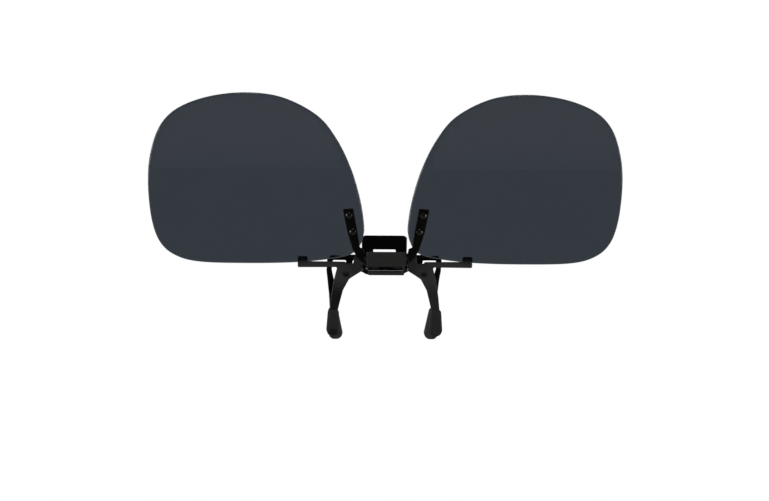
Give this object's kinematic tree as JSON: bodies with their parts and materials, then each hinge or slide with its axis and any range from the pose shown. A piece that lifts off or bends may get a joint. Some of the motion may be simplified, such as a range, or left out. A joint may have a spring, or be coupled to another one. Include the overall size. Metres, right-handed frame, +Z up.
{
  "type": "clip on sunglasses",
  "caption": "Flip-up clip-on sunglasses: tinted lenses on a hinged bar over a sprung clip with rubber-tipped jaws that grips a spectacle lens.",
  "frame": {"origin": "midway between the four rubber pads, in the middle plane of the spectacle lens that they grip", "axes": "+X to the wearer's left, -Y away from the wearer's face, +Z up; the lenses are flipped up"},
  "size_m": [0.1424, 0.0135, 0.0745],
  "materials": {
    "tinted_lens": "polished grey tint",
    "black_sheet": "satin black",
    "grey_sheet": "matte dark grey",
    "housing_moulding": "matte",
    "bright_steel": "bright",
    "screw_steel": "blackened",
    "lens_washer": "matte",
    "spring_steel": "bright",
    "sleeve_rubber": "matte"
  },
  "bodies": {
    "front_jaw": {"front_jaw": "grey_sheet", "hinge_housing": "housing_moulding", "housing_plug": "housing_moulding", "detent_spring": "spring_steel", "housing_rivet_left": "bright_steel", "housing_rivet_right": "bright_steel", "jaw_pin": "bright_steel", "jaw_spring_left": "spring_steel", "jaw_spring_right": "spring_steel", "front_sleeve_left": "sleeve_rubber", "front_sleeve_right": "sleeve_rubber"},
    "lens_flip": {"flip_axle": "bright_steel", "flip_washer_left": "lens_washer", "flip_washer_right": "lens_washer", "lens_arm_left": "black_sheet", "lens_arm_right": "black_sheet", "lens_left": "tinted_lens", "lens_right": "tinted_lens", "lens_screw_left_upper": "screw_steel", "lens_screw_left_lower": "screw_steel", "lens_screw_right_upper": "screw_steel", "lens_screw_right_lower": "screw_steel", "lens_washer_left_upper": "lens_washer", "lens_washer_left_lower": "lens_washer", "lens_washer_right_upper": "lens_washer", "lens_washer_right_lower": "lens_washer", "lens_nut_left_upper": "screw_steel", "lens_nut_left_lower": "screw_steel", "lens_nut_right_upper": "screw_steel", "lens_nut_right_lower": "screw_steel"},
    "rear_jaw": {"rear_jaw": "black_sheet", "rear_sleeve_left": "sleeve_rubber", "rear_sleeve_right": "sleeve_rubber"}
  },
  "joints": [
    {"name": "lens_hinge", "type": "hinge", "parent": "front_jaw", "child": "lens_flip", "pos_m": [0, -0.0064, 0.01922], "axis": [1, 0, 0], "range_deg": [0, 180], "deforming": ["detent_spring"]},
    {"name": "jaw_hinge", "type": "hinge", "parent": "front_jaw", "child": "rear_jaw", "pos_m": [0, -0.0011, 0.01663], "axis": [1, 0, 0], "range_deg": [-5.5, 20], "stiffness_Nm_per_rad": 0.02, "springref_deg": -57.3, "deforming": ["jaw_spring_left", "jaw_spring_right"]}
  ]
}
